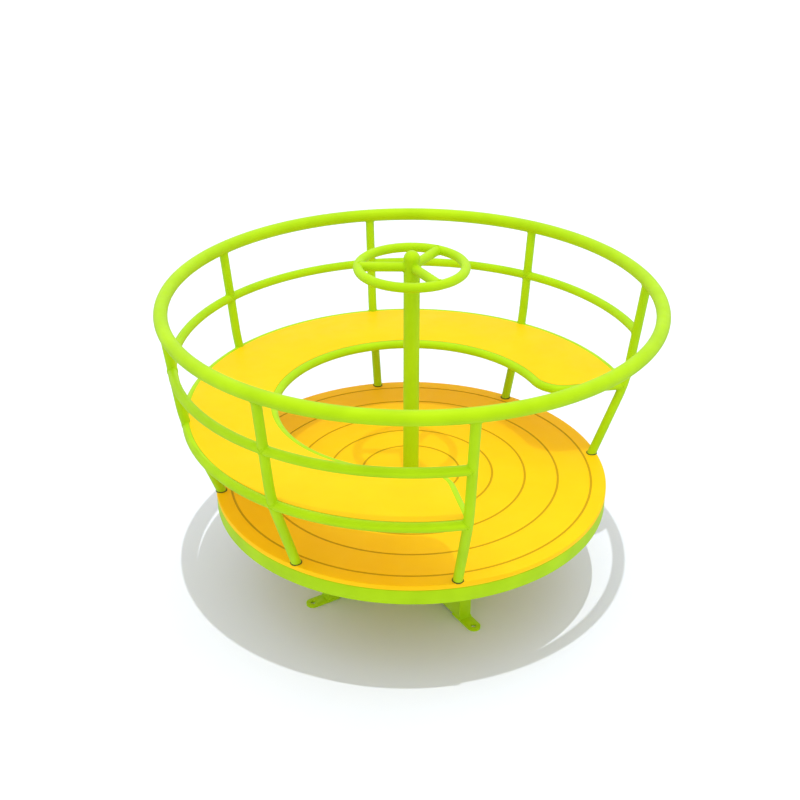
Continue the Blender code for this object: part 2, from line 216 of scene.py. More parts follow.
# Fineness of the visible surfaces
RING_STEPS = 240
TUBE_SIDES = 32
BEND_STEPS = 28
EDGE_STEPS = 4
GROOVE_STEPS = 8
COVE_STEPS = 8
DRILL_STEPS = 40
HUB_STEPS = 3
LEG_ROOT_STEPS = 12
FOOT_TIP_STEPS = 32
DOME_STEPS = 16
BEAD_SIDES = 8
NUT_SIDES = {"Thread": 20, "Nut": 6, "Washer": 28}
SMOOTH_BELOW = math.radians(40)
ROUND_ABOVE = math.radians(50)
MERGE_DISTANCE = 1e-6

# Fineness of the weld lines
SEAM_STEPS = 40
SEAM_HALVINGS = 20
SEAM_BEND_STEPS = 8
WELD_RING_STEPS = 80
# How far before a joint the search for its line starts, in radii of the tube there
TOP_JOINT_REACH = 2.5
POST_JOINT_REACH = 2.0
WHEEL_JOINT_REACH = 3.0

# Camera: the photograph's view, worked out from its concentric circles
CAMERA_PLACE = Vector((0.0, -4.0, 2.8746))
CAMERA_YAW = -0.0101
CAMERA_PITCH = 0.4899
CAMERA_FOCAL_PIXELS = 1254.09
PHOTO_PIXELS = 800
SENSOR_WIDTH = 36.0


def linear(code):
    """An sRGB hex colour as linear red, green, blue and alpha."""
    channels = []
    for i in (0, 2, 4):
        value = int(code[i:i + 2], 16) / 255
        channels.append(value / 12.92 if value <= 0.04045 else ((value + 0.055) / 1.055) ** 2.4)
    return (*channels, 1.0)


def add(tree, kind, settings=None, **links):
    """Add a node. A setting is an input's value, by its name or number, or else a property of the node.
    A link joins an output to the input of that name, or to input 0 as i0, 1 as i1 and so on."""
    node = tree.nodes.new(kind)
    for key, value in (settings or {}).items():
        if isinstance(key, int) or key in node.inputs:
            node.inputs[key].default_value = value
        else:
            setattr(node, key, value)
    for key, source in links.items():
        target = int(key[1:]) if key[1:].isdigit() else key.replace("_", " ").title()
        tree.links.new(source, node.inputs[target])
    return node


def new_material(name, settings):
    """A Principled material, its tree, its shader and its object coordinates."""
    mat = bpy.data.materials.new(name)
    mat.use_nodes = True
    tree = mat.node_tree
    shader = tree.nodes["Principled BSDF"]
    for key, value in settings.items():
        shader.inputs[key].default_value = value
    place = add(tree, "ShaderNodeTexCoord").outputs["Object"]
    return mat, tree, shader, place


def patchy(tree, place, patch, low, high, detail=2.0):
    """Value that drifts between low and high in soft cloudy patches about one patch across."""
    settings = {"Scale": 1 / patch, "Detail": detail, "Roughness": CLOUD_ROUGHNESS}
    cloud = add(tree, "ShaderNodeTexNoise", settings, vector=place).outputs["Fac"]
    settings = {"From Min": CLOUD_LOW, "From Max": CLOUD_HIGH, "To Min": low, "To Max": high}
    return add(tree, "ShaderNodeMapRange", settings, value=cloud).outputs["Result"]


def two_tone(tree, place, patch, first, second, detail=2.0):
    """Colour that drifts between two tones in such patches. A colour mix takes its colours at inputs
    6 and 7 and gives its result at output 2."""
    share = patchy(tree, place, patch, 0.0, 1.0, detail)
    settings = {"data_type": "RGBA", 6: linear(first), 7: linear(second)}
    return add(tree, "ShaderNodeMix", settings, i0=share).outputs[2]


def broken_line(tree, value, points):
    """Straight stretches through points of (input, output), level beyond both ends."""
    total = None
    base = points[0][1]
    for (x0, y0), (x1, y1) in zip(points, points[1:]):
        settings = {"From Min": x0, "From Max": x1, "To Min": base, "To Max": base + y1 - y0}
        stretch = add(tree, "ShaderNodeMapRange", settings, value=value).outputs["Result"]
        if total is None:
            total = stretch
        else:
            total = add(tree, "ShaderNodeMath", {"operation": "ADD"}, i0=total, i1=stretch).outputs[0]
        base = 0.0
    return total


def powder_coat():
    """Polyester powder coat on steel, sprayed as dry powder and baked. It gives the eye an even lime
    satin with a yellow-lime sheen and a slight orange peel, and patches where the film is a little
    thinner and darker."""
    settings = {"Metallic": 0.0, "IOR": 1.50, "Specular IOR Level": 0.60,
                "Specular Tint": linear(POWDER_SHEEN)}
    mat, tree, shader, place = new_material("lime_polyester_powder_coat", settings)
    colour = two_tone(tree, place, FILM_PATCH, POWDER_THIN, POWDER_BODY)
    tree.links.new(colour, shader.inputs["Base Color"])
    tree.links.new(patchy(tree, place, FILM_PATCH / 3, *POWDER_ROUGHNESS), shader.inputs["Roughness"])
    # The real peel is 1 to 3 mm across, which is finer than a pixel: drawn at 7 mm
    settings = {"Scale": 1 / ORANGE_PEEL, "Detail": 1.0, "Roughness": CLOUD_ROUGHNESS}
    peel = add(tree, "ShaderNodeTexNoise", settings, vector=place)
    bump = add(tree, "ShaderNodeBump", {"Strength": 0.10, "Distance": 0.0006}, height=peel.outputs["Fac"])
    tree.links.new(bump.outputs["Normal"], shader.inputs["Normal"])
    return mat


def plastic_board(name, body, shade):
    """High-density polyethylene board, coloured right through. Its pebbled non-slip face scatters
    the light, so it gives the eye a warm, flat, almost shadeless yellow."""
    settings = {"Metallic": 0.0, "IOR": 1.54, "Specular IOR Level": 0.10}
    mat, tree, shader, place = new_material(name, settings)
    colour = two_tone(tree, place, BOARD_PATCH, shade, body, 3.0)
    # Painted shade: the deck's grooves get a darker colour that stands in for the shade falling in them
    groove = add(tree, "ShaderNodeAttribute", {"attribute_name": "groove"}).outputs["Fac"]
    settings = {"data_type": "RGBA", 7: linear(GROOVE_SHADE)}
    colour = add(tree, "ShaderNodeMix", settings, i0=groove, i6=colour).outputs[2]
    tree.links.new(colour, shader.inputs["Base Color"])
    tree.links.new(patchy(tree, place, BOARD_GLOSS_PATCH, *BOARD_ROUGHNESS), shader.inputs["Roughness"])
    # The real pebbles are about 1 mm across, which is finer than a pixel: drawn at 4 mm
    settings = {"Scale": 1 / PEBBLE, "feature": "SMOOTH_F1"}
    pebble = add(tree, "ShaderNodeTexVoronoi", settings, vector=place).outputs["Distance"]
    bump = add(tree, "ShaderNodeBump", {"Strength": 0.25, "Distance": 0.0005}, height=pebble)
    tree.links.new(bump.outputs["Normal"], shader.inputs["Normal"])
    return mat


def zinc_plate():
    """Zinc-plated steel fasteners: a bright cool grey with faint passivation clouds."""
    mat, tree, shader, place = new_material("zinc_plated_steel", {"Metallic": 1.0})
    colour = two_tone(tree, place, ZINC_CLOUD, ZINC_DULL, ZINC_BRIGHT)
    tree.links.new(colour, shader.inputs["Base Color"])
    tree.links.new(patchy(tree, place, ZINC_GLOSS_PATCH, *ZINC_ROUGHNESS), shader.inputs["Roughness"])
    return mat


def contact_shade_ring():
    """Dull dark olive bead round each post's foot where it meets the deck: painted contact shade that
    stands in for the shade there and draws the thin dark line round each foot."""
    settings = {"Metallic": 0.0, "IOR": 1.52, "Roughness": 0.7, "Specular IOR Level": 0.2}
    mat, tree, shader, place = new_material("olive_contact_shade_ring", settings)
    colour = two_tone(tree, place, CONTACT_SHADE_PATCH, CONTACT_SHADE_DEEP, CONTACT_SHADE_PALE)
    tree.links.new(colour, shader.inputs["Base Color"])
    return mat


def studio_floor():
    """Plain pale studio floor, matt and slightly cool."""
    settings = {"Metallic": 0.0, "Roughness": 0.9, "Specular IOR Level": 0.1}
    mat, tree, shader, place = new_material("pale_studio_floor", settings)
    colour = two_tone(tree, place, FLOOR_PATCH, FLOOR_BODY, FLOOR_PALE)
    tree.links.new(colour, shader.inputs["Base Color"])
    return mat


def polar(radius, angle, z=0.0):
    """A point by its radius from the axis, its angle and its height."""
    return Vector((radius * math.cos(angle), radius * math.sin(angle), z))


def arc_points(centre, radius, start, end, steps):
    """Points on an arc in a plane, both ends included."""
    points = []
    for i in range(steps + 1):
        angle = start + (end - start) * i / steps
        points.append((centre[0] + radius * math.cos(angle), centre[1] + radius * math.sin(angle)))
    return points


def finish(name, mesh, mat, body, replaces=()):
    """Make a finished mesh a piece that rides on a body, smooth except at its sharp edges."""
    mesh.name = name
    obj = bpy.data.objects.new(name, mesh)
    bpy.context.scene.collection.objects.link(obj)
    mesh.materials.clear()
    mesh.materials.append(mat)
    mesh.shade_smooth()
    mesh.set_sharp_from_angle(angle=SMOOTH_BELOW)
    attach(obj, body)
    if replaces:
        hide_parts(*replaces)


def mesh_from(bm):
    """Mesh data from a bmesh, with its doubles merged and its faces pointing out."""
    bmesh.ops.remove_doubles(bm, verts=bm.verts, dist=MERGE_DISTANCE)
    bmesh.ops.recalc_face_normals(bm, faces=bm.faces)
    mesh = bpy.data.meshes.new("mesh")
    bm.to_mesh(mesh)
    bm.free()
    return mesh


def lathe(profile, closed=True, steps=RING_STEPS):
    """Turn a section of (radius, height) points once round the axis."""
    bm = bmesh.new()
    verts = [bm.verts.new((r, 0.0, z)) for r, z in profile]
    ends = verts[1:] + verts[:1] if closed else verts[1:]
    edges = [bm.edges.new((a, b)) for a, b in zip(verts, ends)]
    bmesh.ops.spin(bm, geom=verts + edges, axis=(0, 0, 1), cent=(0, 0, 0), steps=steps,
                   angle=2 * math.pi, use_merge=True, use_duplicate=False)
    return mesh_from(bm)


def rounded(corners, radius):
    """Round every corner of a closed section of (radius, height) points."""
    points = []
    count = len(corners)
    for i in range(count):
        corner = Vector(corners[i])
        before = (Vector(corners[i - 1]) - corner).normalized()
        after = (Vector(corners[(i + 1) % count]) - corner).normalized()
        start = corner + before * radius
        end = corner + after * radius
        for step in range(EDGE_STEPS + 1):
            t = step / EDGE_STEPS
            near = start.lerp(corner, t)
            far = corner.lerp(end, t)
            points.append(tuple(near.lerp(far, t)))
    return points


def box_ring(inner, outer, low, high, edge):
    """A ring of rectangular section with rounded edges."""
    return lathe(rounded([(inner, low), (outer, low), (outer, high), (inner, high)], edge))


def join_rings(bm, rings):
    """Skin rings that have the same number of points into a closed body."""
    for first, second in zip(rings, rings[1:]):
        for k in range(len(first)):
            n = (k + 1) % len(first)
            bm.faces.new((first[k], first[n], second[n], second[k]))
    bm.faces.new(rings[0])
    bm.faces.new(rings[-1])


def sweep(path, radius):
    """A round tube along a path of points, its frame carried along without twist."""
    bm = bmesh.new()
    last = len(path) - 1
    rings = []
    normal = None
    for i, point in enumerate(path):
        tangent = (path[min(i + 1, last)] - path[max(i - 1, 0)]).normalized()
        if normal is None:
            normal = tangent.orthogonal().normalized()
        normal = (normal - tangent * normal.dot(tangent)).normalized()
        side = tangent.cross(normal)
        ring = []
        for k in range(TUBE_SIDES):
            turn = 2 * math.pi * k / TUBE_SIDES
            ring.append(bm.verts.new(point + radius * (math.cos(turn) * normal + math.sin(turn) * side)))
        rings.append(ring)
    join_rings(bm, rings)
    return mesh_from(bm)


def loft(levels):
    """Closed body through level outlines that have the same number of points, each with its height."""
    bm = bmesh.new()
    join_rings(bm, [[bm.verts.new((x, y, z)) for x, y in outline] for outline, z in levels])
    return mesh_from(bm)


def evaluated_mesh(obj):
    """A plain copy of what an object's modifiers make of it."""
    bpy.context.view_layer.update()
    graph = bpy.context.evaluated_depsgraph_get()
    return bpy.data.meshes.new_from_object(obj.evaluated_get(graph))


def drilled(bm, bottom, top, holes):
    """Cut round holes, each a centre and a radius, straight through a prism."""
    body = bpy.data.objects.new("body", bpy.data.meshes.new("body"))
    bm.to_mesh(body.data)
    bm.free()
    bpy.context.scene.collection.objects.link(body)
    low = bottom - DRILL_OVERRUN
    high = top + DRILL_OVERRUN
    tools = []
    for (x, y), radius in holes:
        drill = lathe([(0.0, low), (radius, low), (radius, high), (0.0, high)], False, DRILL_STEPS)
        drill.transform(Matrix.Translation((x, y, 0)))
        tool = bpy.data.objects.new("drill", drill)
        bpy.context.scene.collection.objects.link(tool)
        boolean = body.modifiers.new("hole", "BOOLEAN")
        boolean.operation = "DIFFERENCE"
        boolean.solver = "EXACT"
        boolean.object = tool
        tools.append(tool)
    result = bmesh.new()
    result.from_mesh(evaluated_mesh(body))
    for obj in tools + [body]:
        bpy.data.objects.remove(obj)
    return result


def prism(outline, bottom, top, edge, holes=()):
    """Raise a flat outline between two heights, drill round holes in it, and round its edges."""
    bm = bmesh.new()
    face = bm.faces.new([bm.verts.new((x, y, bottom)) for x, y in outline])
    raised = bmesh.ops.extrude_face_region(bm, geom=[face])
    lifted = [v for v in raised["geom"] if isinstance(v, bmesh.types.BMVert)]
    bmesh.ops.translate(bm, verts=lifted, vec=(0, 0, top - bottom))
    bmesh.ops.recalc_face_normals(bm, faces=bm.faces)
    if holes:
        bm = drilled(bm, bottom, top, holes)
    sharp = [e for e in bm.edges if e.calc_face_angle(0.0) > ROUND_ABOVE]
    bmesh.ops.bevel(bm, geom=sharp, offset=edge, segments=EDGE_STEPS, profile=0.5,
                    affect="EDGES", clamp_overlap=True)
    return mesh_from(bm)


def grow(name, tree, values, start=None):
    """Run a Geometry Nodes tree on a starting mesh and keep the result as a plain mesh."""
    holder = bpy.data.objects.new(name, start or bpy.data.meshes.new(name))
    bpy.context.scene.collection.objects.link(holder)
    modifier = holder.modifiers.new("grow", "NODES")
    modifier.node_group = tree
    for item in tree.interface.items_tree:
        if item.in_out == "INPUT" and item.name in values:
            modifier[item.identifier] = values[item.name]
    mesh = evaluated_mesh(holder)
    holder.modifiers.remove(modifier)
    bpy.data.objects.remove(holder)
    return mesh


def new_tree(name, inputs, takes_mesh=False):
    """A Geometry Nodes tree with named inputs, its input node and its output node."""
    tree = bpy.data.node_groups.new(name, "GeometryNodeTree")
    tree.interface.new_socket("Geometry", in_out="OUTPUT", socket_type="NodeSocketGeometry")
    if takes_mesh:
        tree.interface.new_socket("Geometry", in_out="INPUT", socket_type="NodeSocketGeometry")
    for label, kind in inputs:
        tree.interface.new_socket(label, in_out="INPUT", socket_type="NodeSocket" + kind)
    return tree, add(tree, "NodeGroupInput").outputs, add(tree, "NodeGroupOutput")


def close_tree(tree, geometry, finish_input, output):
    """End a tree in realized geometry with its material."""
    real = add(tree, "GeometryNodeRealizeInstances", geometry=geometry)
    painted = add(tree, "GeometryNodeSetMaterial", geometry=real.outputs[0], material=finish_input)
    tree.links.new(painted.outputs[0], output.inputs[0])


def rolled_tube_tree():
    """Tube rolled to part of a circle about the axis: every curved rail between two posts is one."""
    inputs = [("Ring Radius", "Float"), ("Height", "Float"), ("Start", "Float"), ("Sweep", "Float"),
              ("Tube Radius", "Float"), ("Steps", "Int"), ("Finish", "Material")]
    tree, given, output = new_tree("rolled tube", inputs)
    arc = add(tree, "GeometryNodeCurveArc", {"mode": "RADIUS"}, resolution=given["Steps"],
              radius=given["Ring Radius"], start_angle=given["Start"], sweep_angle=given["Sweep"])
    lift = add(tree, "ShaderNodeCombineXYZ", z=given["Height"])
    raised = add(tree, "GeometryNodeTransform", geometry=arc.outputs[0], translation=lift.outputs[0])
    section = add(tree, "GeometryNodeCurvePrimitiveCircle", {"Resolution": TUBE_SIDES},
                  radius=given["Tube Radius"])
    tube = add(tree, "GeometryNodeCurveToMesh", {"Fill Caps": True}, curve=raised.outputs[0],
               profile_curve=section.outputs[0])
    close_tree(tree, tube.outputs[0], given["Finish"], output)
    return tree


def weld_bead_tree():
    """Weld bead along each line of a starting mesh, with the ripples of a hand-run pass."""
    inputs = [("Bead Radius", "Float"), ("Ripple Pitch", "Float"), ("Ripple Depth", "Float"),
              ("Finish", "Material")]
    tree, given, output = new_tree("weld bead", inputs, takes_mesh=True)
    line = add(tree, "GeometryNodeMeshToCurve", mesh=given["Geometry"])
    quarter = add(tree, "ShaderNodeMath", {"operation": "MULTIPLY", 1: 0.25}, i0=given["Ripple Pitch"])
    fine = add(tree, "GeometryNodeResampleCurve", {"mode": "LENGTH"}, curve=line.outputs[0],
               length=quarter.outputs[0])
    along = add(tree, "GeometryNodeSplineParameter").outputs["Length"]
    turns = add(tree, "ShaderNodeMath", {"operation": "DIVIDE"}, i0=along, i1=given["Ripple Pitch"])
    phase = add(tree, "ShaderNodeMath", {"operation": "MULTIPLY", 1: 2 * math.pi}, i0=turns.outputs[0])
    wave = add(tree, "ShaderNodeMath", {"operation": "SINE"}, i0=phase.outputs[0])
    ripple = add(tree, "ShaderNodeMath", {"operation": "MULTIPLY"}, i0=wave.outputs[0],
                 i1=given["Ripple Depth"])
    wander = add(tree, "ShaderNodeTexNoise", {"Scale": BEAD_UNEVENNESS_SCALE, "Detail": 1.0})
    settings = {"To Min": 1 - BEAD_UNEVENNESS, "To Max": 1 + BEAD_UNEVENNESS}
    uneven = add(tree, "ShaderNodeMapRange", settings, value=wander.outputs["Fac"])
    scale = add(tree, "ShaderNodeMath", {"operation": "ADD"}, i0=uneven.outputs[0], i1=ripple.outputs[0])
    section = add(tree, "GeometryNodeCurvePrimitiveCircle", {"Resolution": BEAD_SIDES},
                  radius=given["Bead Radius"])
    bead = add(tree, "GeometryNodeCurveToMesh", {"Fill Caps": True}, curve=fine.outputs[0],
               profile_curve=section.outputs[0], scale=scale.outputs[0])
    close_tree(tree, bead.outputs[0], given["Finish"], output)
    return tree


def nut_tree():
    """Washer, hexagon nut and thread end under each point of a starting mesh, each turned at random."""
    inputs = [(key, "Float") for key in NUT_PROPORTIONS] + [("Finish", "Material")]
    tree, given, output = new_tree("nut and washer", inputs, takes_mesh=True)
    join = add(tree, "GeometryNodeJoinGeometry")
    for part, sides in NUT_SIDES.items():
        depth = given[part + " Depth"]
        body = add(tree, "GeometryNodeMeshCylinder", {"Vertices": sides}, radius=given[part + " Radius"],
                   depth=depth)
        middle = add(tree, "ShaderNodeMath", {"operation": "MULTIPLY", 1: -0.5}, i0=depth)
        offset = add(tree, "ShaderNodeCombineXYZ", z=middle.outputs[0])
        placed = add(tree, "GeometryNodeTransform", geometry=body.outputs["Mesh"],
                     translation=offset.outputs[0])
        tree.links.new(placed.outputs[0], join.inputs[0])
    # Input 3 is the greatest number wanted, and output 1 is the number
    turn = add(tree, "FunctionNodeRandomValue", {"data_type": "FLOAT", 3: math.pi, "Seed": NUT_SEED})
    spin = add(tree, "ShaderNodeCombineXYZ", z=turn.outputs[1])
    copies = add(tree, "GeometryNodeInstanceOnPoints", points=given["Geometry"], instance=join.outputs[0],
                 rotation=spin.outputs[0])
    close_tree(tree, copies.outputs[0], given["Finish"], output)
    return tree


def post_line(steps=BEND_STEPS):
    """Post centre line as (radius, height above the deck): straight, one long bend, straight."""
    foot = Vector((POST_FOOT_RADIUS, 0.0))
    corner = Vector(POST_BEND_POINT)
    top = Vector((TOP_RAIL_RADIUS, TOP_RAIL_HEIGHT - DECK_TOP))
    lower = (foot - corner).normalized()
    upper = (top - corner).normalized()
    half_turn = (math.pi - lower.angle(upper)) / 2
    reach = POST_BEND_RADIUS * math.tan(half_turn)
    centre = corner + (lower + upper).normalized() * (POST_BEND_RADIUS / math.cos(half_turn))
    first = corner + lower * reach - centre
    last = corner + upper * reach - centre
    start = math.atan2(first.y, first.x)
    end = math.atan2(last.y, last.x)
    if end - start > math.pi:
        end -= 2 * math.pi
    if start - end > math.pi:
        end += 2 * math.pi
    in_board = foot + lower * POST_DEPTH_IN_BOARD
    return [tuple(in_board)] + arc_points(centre, POST_BEND_RADIUS, start, end, steps) + [tuple(top)]


def post_radius(height):
    """Radius of the post's centre line at a height above the ground."""
    level = height - DECK_TOP
    line = post_line()
    for (r0, z0), (r1, z1) in zip(line, line[1:]):
        if z0 <= level <= z1:
            return r0 + (r1 - r0) * (level - z0) / (z1 - z0)
    raise ValueError("height is outside the post")


def ring_tube(radius, height, tube_radius):
    """A full ring of round tube."""
    section = []
    for i in range(TUBE_SIDES):
        turn = 2 * math.pi * i / TUBE_SIDES
        section.append((radius + tube_radius * math.cos(turn), height + tube_radius * math.sin(turn)))
    return lathe(section)


def bench_outline(offset):
    """Bench front line moved by an offset towards the seat, as (x, y) from end to end."""
    bend = FRONT_RAIL_END_BEND
    turn = math.asin(bend / (FRONT_RAIL_RADIUS + bend))
    first = FIRST_POST_ANGLE + turn
    last = LAST_POST_ANGLE - turn
    points = arc_points(polar(FRONT_RAIL_RADIUS + bend, first), bend - offset,
                        FIRST_POST_ANGLE - math.pi / 2, first - math.pi, BEND_STEPS)
    points += arc_points((0.0, 0.0), FRONT_RAIL_RADIUS + offset, first, last, RING_STEPS)[1:-1]
    points += arc_points(polar(FRONT_RAIL_RADIUS + bend, last), bend - offset,
                         last + math.pi, LAST_POST_ANGLE + math.pi / 2, BEND_STEPS)
    return points


def seam(origin, direction, radius, clearance, reach):
    """Closed line where a straight tube's wall runs into another surface within reach."""
    across = direction.orthogonal().normalized()
    side = direction.cross(across)
    line = []
    for k in range(SEAM_STEPS):
        turn = 2 * math.pi * k / SEAM_STEPS
        start = origin + radius * (math.cos(turn) * across + math.sin(turn) * side)
        near, far = 0.0, reach
        for _ in range(SEAM_HALVINGS):
            middle = (near + far) / 2
            if clearance(start + direction * middle) > 0:
                near = middle
            else:
                far = middle
        line.append(start + direction * far)
    return line


def clear_of_ring(radius, height, tube_radius):
    """Distance from a point to a ring of tube, less than zero inside it."""
    def clearance(point):
        return math.hypot(math.hypot(point.x, point.y) - radius, point.z - height) - tube_radius
    return clearance


def clear_of_post(angle):
    """Distance from a point to a post's wall."""
    line = [Vector((r, z + DECK_TOP)) for r, z in post_line(SEAM_BEND_STEPS)]

    def clearance(point):
        outward = point.x * math.cos(angle) + point.y * math.sin(angle)
        sideways = point.y * math.cos(angle) - point.x * math.sin(angle)
        flat = Vector((outward, point.z))
        nearest = math.inf
        for start, end in zip(line, line[1:]):
            run = end - start
            t = max(0.0, min(1.0, (flat - start).dot(run) / run.length_squared))
            nearest = min(nearest, (flat - start - run * t).length)
        return math.hypot(nearest, sideways) - TUBE_RADIUS
    return clearance


def clear_of_column(point):
    """Distance from a point to the column's wall."""
    return math.hypot(point.x, point.y) - COLUMN_RADIUS


def lines_mesh(lines):
    """Edges along lines, each a list of points and whether it closes on itself."""
    mesh = bpy.data.meshes.new("lines")
    points, edges = [], []
    for line, closes in lines:
        base = len(points)
        points += line
        edges += [(base + i, base + i + 1) for i in range(len(line) - 1)]
        if closes:
            edges.append((base + len(line) - 1, base))
    mesh.from_pydata(points, edges, [])
    return mesh


def make_bowl(green, tube_tree):
    """Posts and every rail of the bowl."""
    top = ring_tube(TOP_RAIL_RADIUS, TOP_RAIL_HEIGHT, TOP_RAIL_TUBE_RADIUS)
    finish("rolled_top_rail", top, green, TURNING, ["top_rail"])
    for i in range(POST_COUNT):
        angle = FIRST_POST_ANGLE + i * POST_PITCH
        path = [polar(r, angle, DECK_TOP + z) for r, z in post_line()]
        post = sweep(path, TUBE_RADIUS)
        finish(f"bent_post_{i + 1}", post, green, TURNING, [f"post_{i + 1}"])
    for rail, height in (("mid_rail", MID_RAIL_HEIGHT), ("bench_back_rail", BENCH_RAIL_HEIGHT)):
        radius = post_radius(height)
        setback = RAIL_END_SETBACK / radius
        for i in range(POST_COUNT - 1):
            values = {"Ring Radius": radius, "Height": height,
                      "Start": FIRST_POST_ANGLE + i * POST_PITCH + setback,
                      "Sweep": POST_PITCH - 2 * setback,
                      "Tube Radius": TUBE_RADIUS, "Steps": BEND_STEPS, "Finish": green}
            mesh = grow(rail, tube_tree, values)
            finish(f"rolled_{rail}_{i + 1}", mesh, green, TURNING, [f"{rail}_{i + 1}"])


def seat_edge():
    """Edge of the seat board as (distance from the rail's centre line, height above it): coved
    underneath to lie over the rail, with a rounded lip on top."""
    cove = TUBE_RADIUS + SEAT_FIT
    low = SEAT_LOW.z - BENCH_RAIL_HEIGHT
    high = SEAT_HIGH.z - BENCH_RAIL_HEIGHT
    edge = arc_points((0.0, 0.0), cove, math.asin(low / cove), math.acos(SEAT_LAP / cove), COVE_STEPS)
    lip = arc_points((SEAT_LAP + SEAT_LIP, high - SEAT_LIP), SEAT_LIP, math.pi, math.pi / 2, EDGE_STEPS)
    return edge + lip


def seat_outline(distance, back):
    """Seat outline at a distance from the centre line of the rails round it."""
    outer_radius = back - distance
    end_turn = math.asin(distance / outer_radius)
    outer = arc_points((0.0, 0.0), outer_radius, LAST_POST_ANGLE - end_turn,
                       FIRST_POST_ANGLE + end_turn, RING_STEPS)
    return bench_outline(distance) + outer


def make_bench(green, seat_yellow):
    """Bench front rail, seat board and the bars that carry it."""
    back = post_radius(BENCH_RAIL_HEIGHT)
    path = [Vector((x, y, BENCH_RAIL_HEIGHT)) for x, y in bench_outline(0.0)]
    path.insert(0, polar(back - RAIL_END_SETBACK, FIRST_POST_ANGLE, BENCH_RAIL_HEIGHT))
    path.append(polar(back - RAIL_END_SETBACK, LAST_POST_ANGLE, BENCH_RAIL_HEIGHT))
    finish("bent_front_rail", sweep(path, TUBE_RADIUS), green, TURNING, ["bench_front_rail"])
    levels = [(seat_outline(distance, back), BENCH_RAIL_HEIGHT + height)
              for distance, height in seat_edge()]
    finish("seat_board", loft(levels), seat_yellow, TURNING, ["bench_seat"])
    half = BEARER_WIDTH / 2
    inner = FRONT_RAIL_RADIUS + BEARER_TUCK
    outer = back - BEARER_TUCK
    outline = [(inner, -half), (outer, -half), (outer, half), (inner, half)]
    for i in range(1, POST_COUNT - 1):
        bar = prism(outline, BEARER_LOW.z, BEARER_HIGH.z, PLATE_EDGE)
        bar.transform(Matrix.Rotation(FIRST_POST_ANGLE + i * POST_PITCH, 4, "Z"))
        finish(f"flat_bar_{i}", bar, green, TURNING, [f"seat_bearer_{i}"])


def groove_shade_share(radius, height):
    """Painted shade for a point of the deck: how deep it lies in a groove, from 0 to 1."""
    if height < DECK_TOP - GROOVE_DEPTH * GROOVE_SHADE_REACH:
        return 0.0
    for i in range(GROOVE_COUNT):
        if abs(radius - GROOVE_OUTER_RADIUS + i * GROOVE_PITCH) < GROOVE_HALF_WIDTH * GROOVE_SHADE_REACH:
            return min(1.0, (DECK_TOP - height) / (GROOVE_SHADE_SHARE * GROOVE_DEPTH))
    return 0.0


def spider_outline():
    """Round hub with arms that reach the rim."""
    tip = RIM_HIGH.x - RIM_WIDTH
    root = math.asin(ARM_HALF_WIDTH / SPIDER_HUB_RADIUS)
    tip_turn = math.asin(ARM_HALF_WIDTH / tip)
    pitch = 2 * math.pi / ARM_COUNT
    points = []
    for i in range(ARM_COUNT):
        angle = FIRST_POST_ANGLE + i * pitch
        points += [tuple(polar(tip, angle - tip_turn).xy), tuple(polar(tip, angle + tip_turn).xy)]
        points += arc_points((0.0, 0.0), SPIDER_HUB_RADIUS, angle + root, angle + pitch - root, HUB_STEPS)
    return points


def make_deck(green, deck_yellow):
    """Grooved deck board, its rim, spider and bearing sleeve."""
    edge = DECK_EDGE
    section = [(SHAFT_HOLE_RADIUS, DECK_UNDERSIDE)]
    section += arc_points((DECK_RADIUS - edge, DECK_UNDERSIDE + edge), edge, -math.pi / 2, 0.0, EDGE_STEPS)
    section += arc_points((DECK_RADIUS - edge, DECK_TOP - edge), edge, 0.0, math.pi / 2, EDGE_STEPS)
    for i in range(GROOVE_COUNT):
        centre = GROOVE_OUTER_RADIUS - i * GROOVE_PITCH
        for k in range(GROOVE_STEPS + 1):
            turn = math.pi * k / GROOVE_STEPS
            radius = centre + GROOVE_HALF_WIDTH * math.cos(turn)
            section.append((radius, DECK_TOP - GROOVE_DEPTH * math.sin(turn)))
    section += [(SHAFT_HOLE_RADIUS + edge / 2, DECK_TOP), (SHAFT_HOLE_RADIUS, DECK_TOP - edge / 2)]
    board = lathe(section)
    # Painted shade: each point's share of the darker groove colour
    shares = [groove_shade_share(math.hypot(v.co.x, v.co.y), v.co.z) for v in board.vertices]
    board.attributes.new("groove", "FLOAT", "POINT").data.foreach_set("value", shares)
    finish("grooved_deck", board, deck_yellow, TURNING, ["deck_board"])
    rim = box_ring(RIM_HIGH.x - RIM_WIDTH, RIM_HIGH.x, RIM_LOW.z, RIM_HIGH.z, RIM_EDGE)
    finish("rolled_rim", rim, green, TURNING, ["deck_rim"])
    shaft_hole = ((0.0, 0.0), SHAFT_HOLE_RADIUS)
    spider = prism(spider_outline(), SPIDER_LOW.z, SPIDER_HIGH.z, ARM_EDGE, [shaft_hole])
    finish("spider_arms", spider, green, TURNING, ["deck_spider"])
    flange = SLEEVE_HIGH.x
    top = SLEEVE_HIGH.z
    step = top - FLANGE_THICKNESS
    sleeve = rounded([(SLEEVE_BORE, SLEEVE_LOW.z), (SLEEVE_RADIUS, SLEEVE_LOW.z), (SLEEVE_RADIUS, step),
                      (flange, step), (flange, top), (SLEEVE_BORE, top)], PLATE_EDGE)
    finish("bearing_sleeve", lathe(sleeve), green, TURNING, ["hub_sleeve"])


